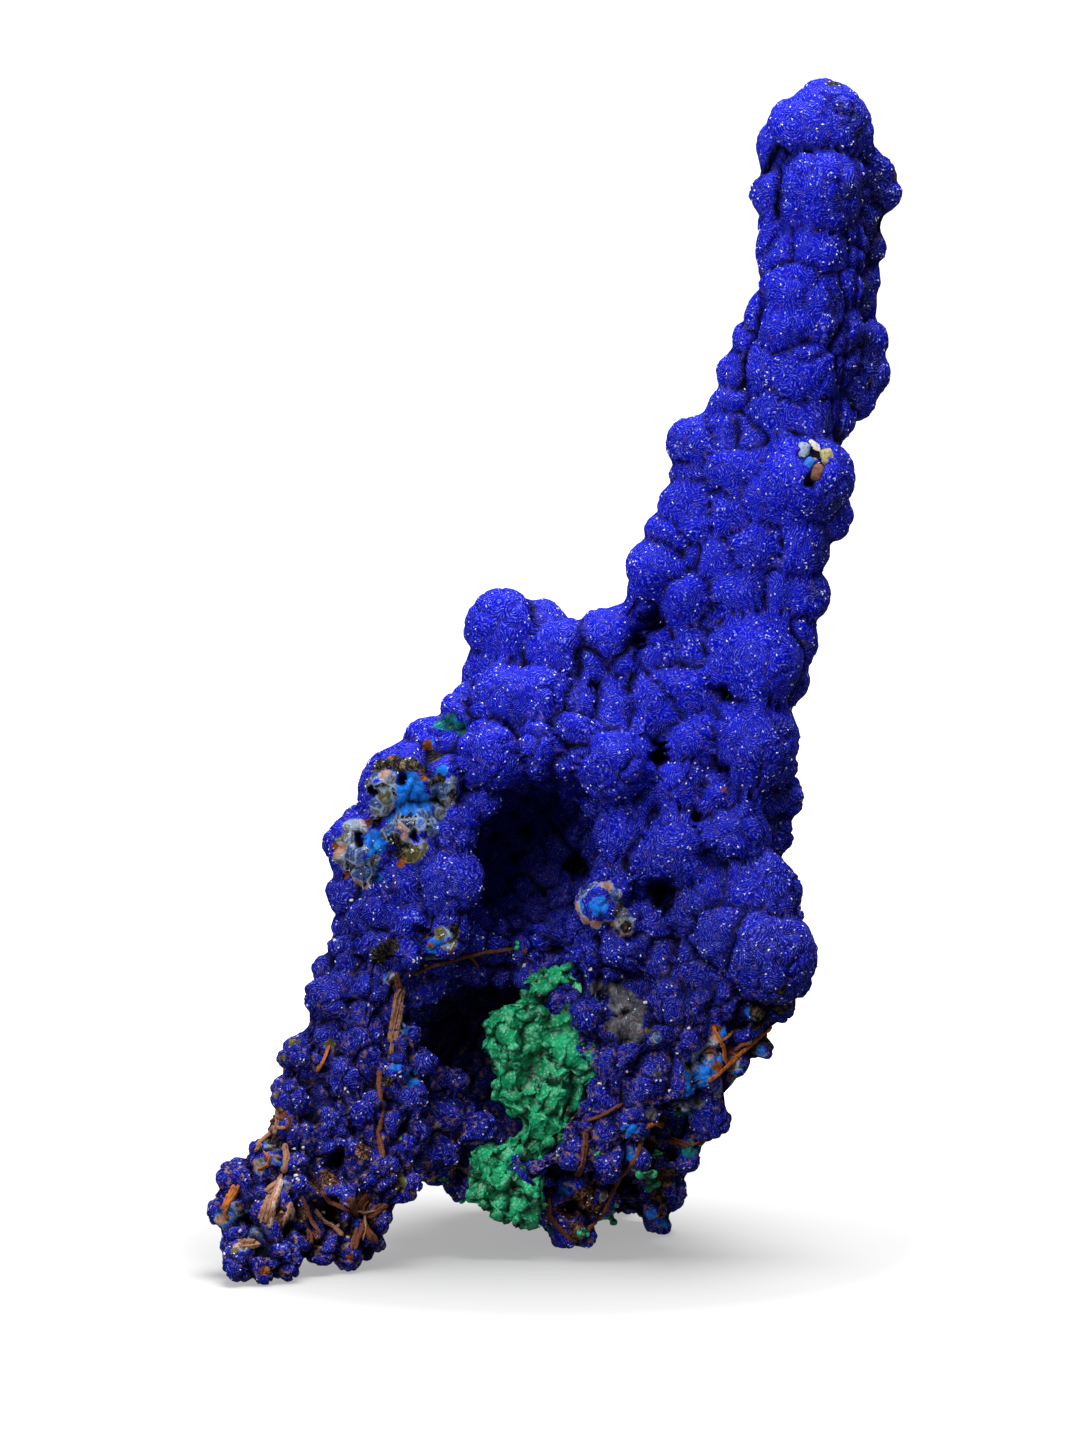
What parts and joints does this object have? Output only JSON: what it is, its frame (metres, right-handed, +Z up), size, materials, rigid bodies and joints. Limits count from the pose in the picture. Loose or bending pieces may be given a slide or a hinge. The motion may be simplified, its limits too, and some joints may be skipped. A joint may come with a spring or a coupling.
{
  "type": "azurite specimen",
  "caption": "Tall natural azurite specimen: a spire of blue globules on an arched, hollow base lined with green malachite, standing on its own worn feet.",
  "frame": {"origin": "middle of the footprint's box, on the surface that the specimen stands on", "axes": "+Z up along the spire, +X to the spire's side, -Y towards the side with the two hollows"},
  "size_m": [0.0623, 0.043, 0.1041],
  "materials": {
    "azurite": "satin",
    "malachite": "satin"
  },
  "bodies": {
    "root": {"azurite_body": "azurite", "malachite_crust": "malachite"}
  },
  "joints": []
}
